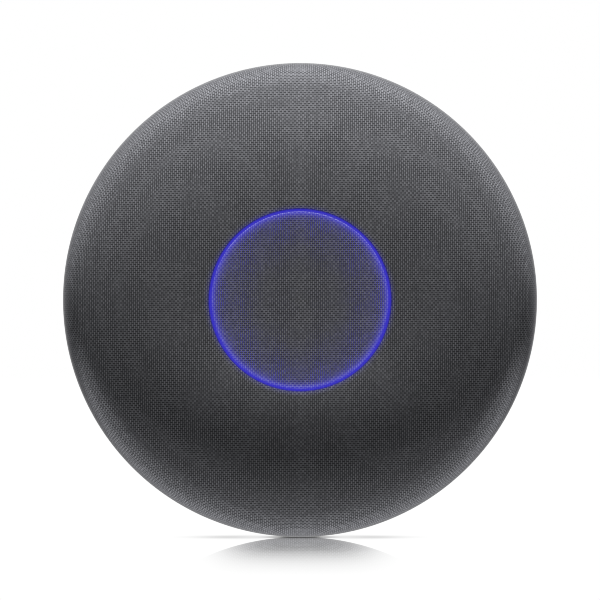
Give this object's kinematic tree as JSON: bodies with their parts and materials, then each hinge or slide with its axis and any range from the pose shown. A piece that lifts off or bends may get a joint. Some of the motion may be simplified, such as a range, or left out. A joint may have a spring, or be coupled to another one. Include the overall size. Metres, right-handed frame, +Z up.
{
  "type": "wireless access point",
  "caption": "Round wall or ceiling wireless access point with a clip-on woven skin, a blue light ring, a rear network jack and a twist-lock wall bracket.",
  "frame": {"origin": "centre of the bracket's wall face, on the disc's axis", "axes": "+Y into the wall along the disc's axis, so the woven front faces -Y; +Z up, towards the side the jack's mouth faces; +X to the right seen from the front"},
  "size_m": [0.163, 0.0341, 0.163],
  "materials": {
    "woven_fabric": "plain weave, mid grey",
    "dark_carrier": "fine matte",
    "light_window": "translucent, lit blue",
    "white_housing": "fine satin texture",
    "grey_bracket": "fine matte",
    "light_guide": "frosted clear, lit blue",
    "reflector_white": "smooth",
    "circuit_board": "solder mask",
    "led_package": "lit blue",
    "steel_screw": "zinc plated",
    "ribbon_film": "polyester film",
    "connector_plastic": "moulded nylon",
    "spreader_alloy": "as cast",
    "thermal_pad": "soft silicone",
    "chip_black": "moulded epoxy",
    "tinned_steel": "tin plated",
    "ferrite": "fired ferrite",
    "capacitor_can": "drawn can",
    "nickel_shell": "nickel plated",
    "jack_black": "moulded",
    "gold_contact": "gold flash",
    "label_paper": "blank film"
  },
  "bodies": {
    "bracket": {"mounting_bracket": "grey_bracket", "latch_pin": "steel_screw"},
    "unit": {"front_housing": "white_housing", "light_guide_ring": "light_guide", "centre_disc": "white_housing", "reflector_ring": "reflector_white", "led_board": "circuit_board", "status_leds": "led_package", "led_board_screws": "steel_screw", "led_ribbon": "ribbon_film", "ribbon_sockets": "connector_plastic", "main_board": "circuit_board", "board_screws": "steel_screw", "heat_spreader": "spreader_alloy", "thermal_pads": "thermal_pad", "board_chips": "chip_black", "shield_fences": "tinned_steel", "shield_lids": "tinned_steel", "ethernet_transformer": "chip_black", "poe_transformer": "ferrite", "capacitors": "capacitor_can", "crystals": "tinned_steel", "aerials_5ghz": "tinned_steel", "aerials_2ghz": "tinned_steel", "rj45_shell": "nickel_shell", "rj45_insert": "jack_black", "rj45_contacts": "gold_contact", "reset_switch": "jack_black", "base_housing": "white_housing", "case_screws": "steel_screw", "blank_label": "label_paper"},
    "skin": {"fabric_layer": "woven_fabric", "skin_shell": "dark_carrier", "skin_light_window": "light_window", "skin_centre_plate": "dark_carrier"},
    "latch": {"lock_lever": "grey_bracket"},
    "reset": {"reset_plunger": "connector_plastic"}
  },
  "joints": [
    {"name": "twist_lock", "type": "hinge", "parent": "bracket", "child": "unit", "pos_m": [0, 0, 0], "axis": [0, -1, 0], "range_deg": [0, 24]},
    {"name": "skin_pull", "type": "slide", "parent": "unit", "child": "skin", "axis": [0, -1, 0], "range_m": [0, 0.04]},
    {"name": "latch_press", "type": "hinge", "parent": "bracket", "child": "latch", "pos_m": [-0.01789, -0.0036, -0.03667], "axis": [0, -1, 0], "range_deg": [0, 6], "stiffness_Nm_per_rad": 0.4, "springref_deg": -5.73},
    {"name": "reset_press", "type": "slide", "parent": "unit", "child": "reset", "axis": [0, 0, -1], "range_m": [0, 0.0003], "stiffness_N_per_m": 4000, "springref_m": -0.0001}
  ]
}
